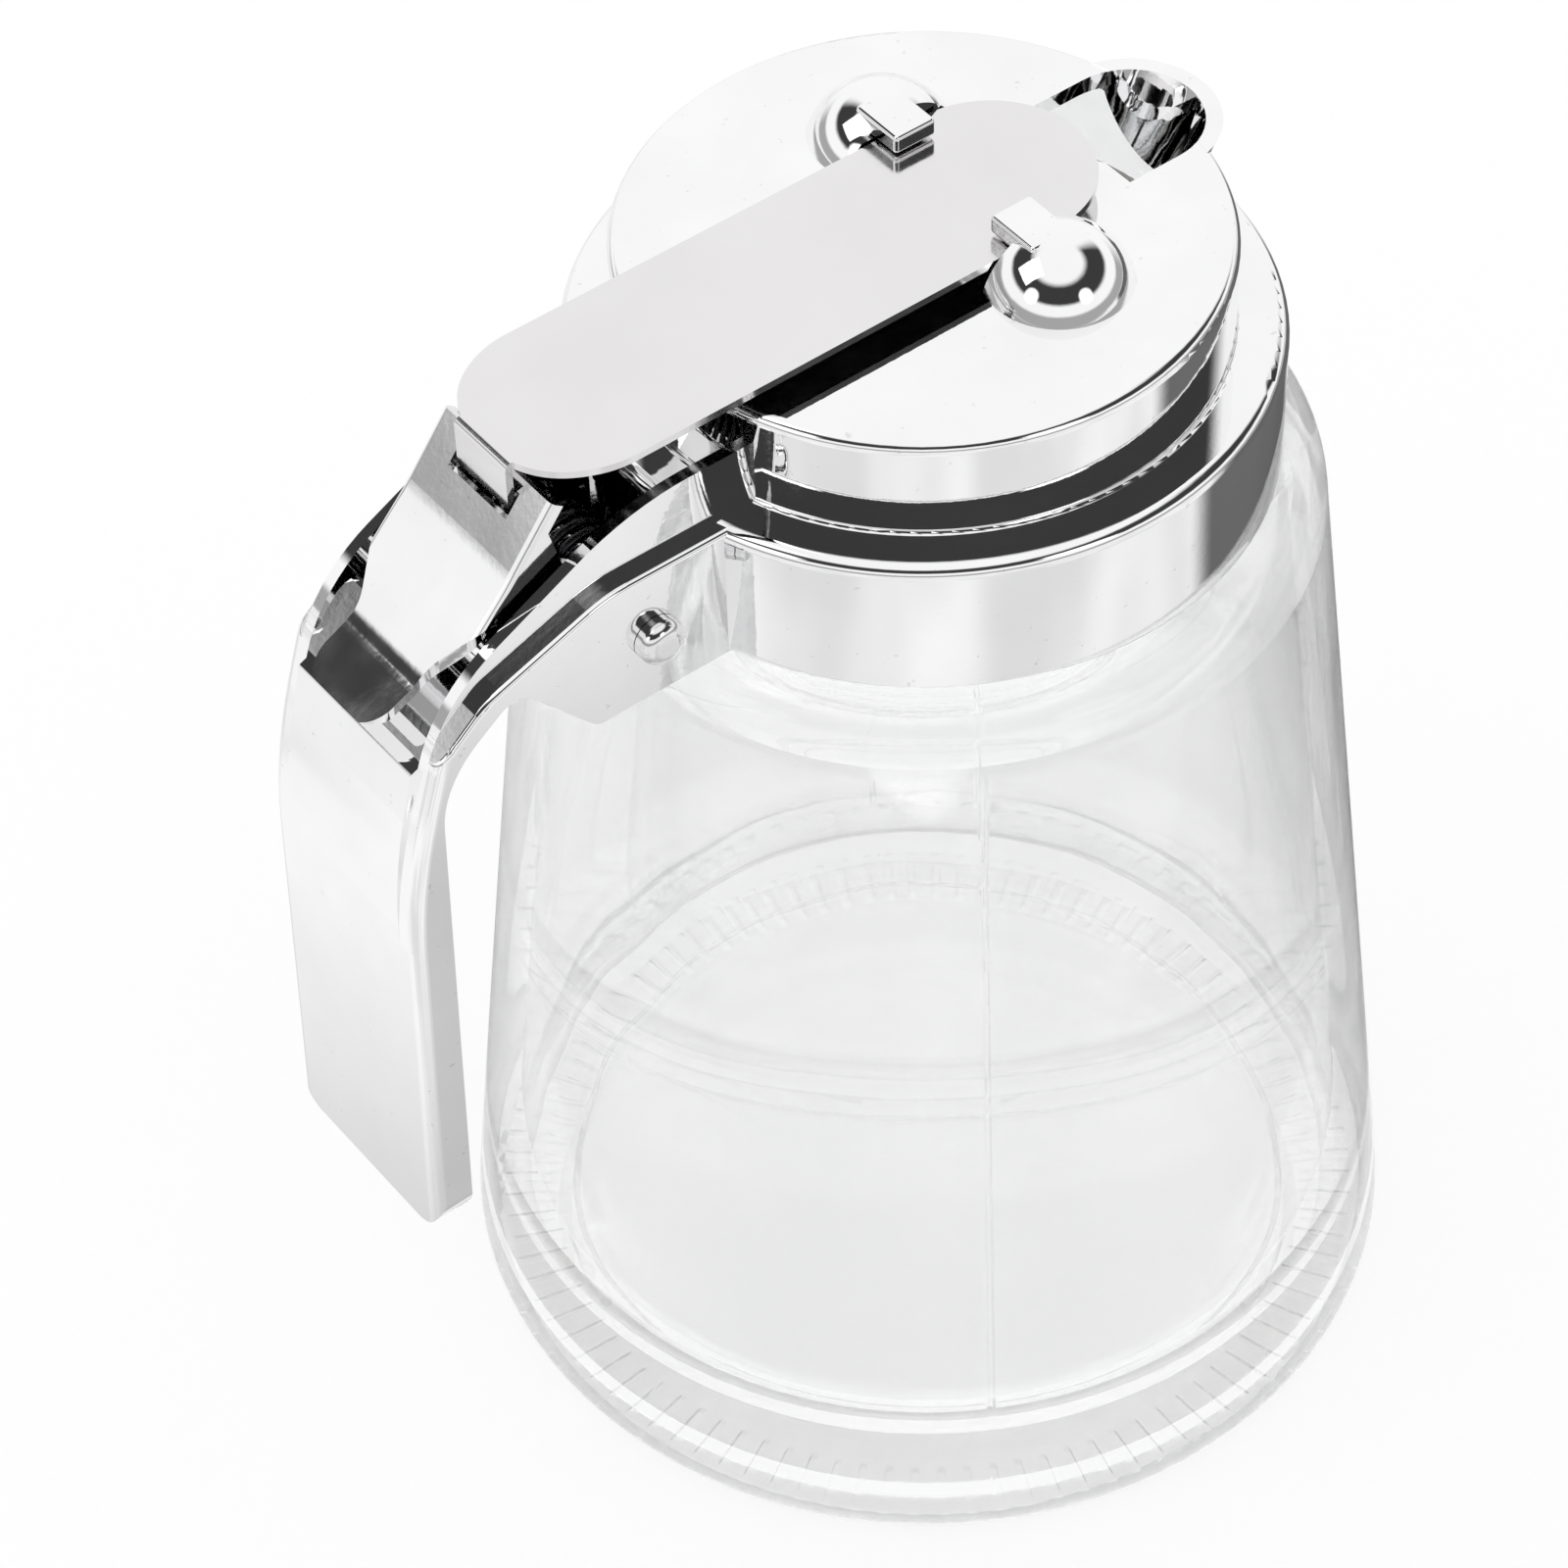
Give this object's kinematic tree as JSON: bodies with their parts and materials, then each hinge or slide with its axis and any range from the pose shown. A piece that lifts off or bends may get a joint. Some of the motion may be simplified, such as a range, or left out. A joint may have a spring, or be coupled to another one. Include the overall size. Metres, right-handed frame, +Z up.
{
  "type": "syrup dispenser",
  "caption": "Conical glass jar with a chrome screw cap, a channel handle, and a flat pouring gate that slides open when the sprung thumb lever is pressed.",
  "frame": {"origin": "centre of the jar's foot, on the table", "axes": "+Z up along the jar's axis, +X from the handle to the spout"},
  "size_m": [0.1102, 0.0914, 0.1318],
  "materials": {
    "glass": "clear pressed glass",
    "seal": "white rubber",
    "chrome_casting": "polished chrome plate",
    "pin_steel": "polished steel",
    "spring_steel": "dark spring wire",
    "lever_sheet": "bright sheet steel",
    "gate_sheet": "satin sheet steel"
  },
  "bodies": {
    "jar": {"glass_jar": "glass"},
    "gasket": {"cap_gasket": "seal"},
    "cap": {"cap_body": "chrome_casting", "pivot_pin": "pin_steel", "return_spring": "spring_steel"},
    "lever": {"thumb_lever": "lever_sheet"},
    "gate": {"slide_gate": "gate_sheet"}
  },
  "joints": [
    {"name": "cap_lift", "type": "slide", "parent": "jar", "child": "gasket", "axis": [0, 0, 1], "range_m": [0, 0.006]},
    {"name": "cap_turn", "type": "hinge", "parent": "gasket", "child": "cap", "pos_m": [0, 0, 0.1], "axis": [0, 0, 1], "range_deg": [0, 540]},
    {"name": "lever_press", "type": "hinge", "parent": "cap", "child": "lever", "pos_m": [-0.0372, 0, 0.1099], "axis": [0, 1, 0], "range_deg": [0, 45.85], "stiffness_Nm_per_rad": 0.08, "springref_deg": 91.67},
    {"name": "gate_slide", "type": "slide", "parent": "cap", "child": "gate", "axis": [1, 0, 0], "range_m": [0, 0.0136]}
  ],
  "couplings": [
    {"joint": "cap_lift", "follows": "cap_turn", "m_per_rad": 0.00063662},
    {"joint": "lever_press", "follows": "gate_slide", "rad_per_m": 58.8}
  ]
}
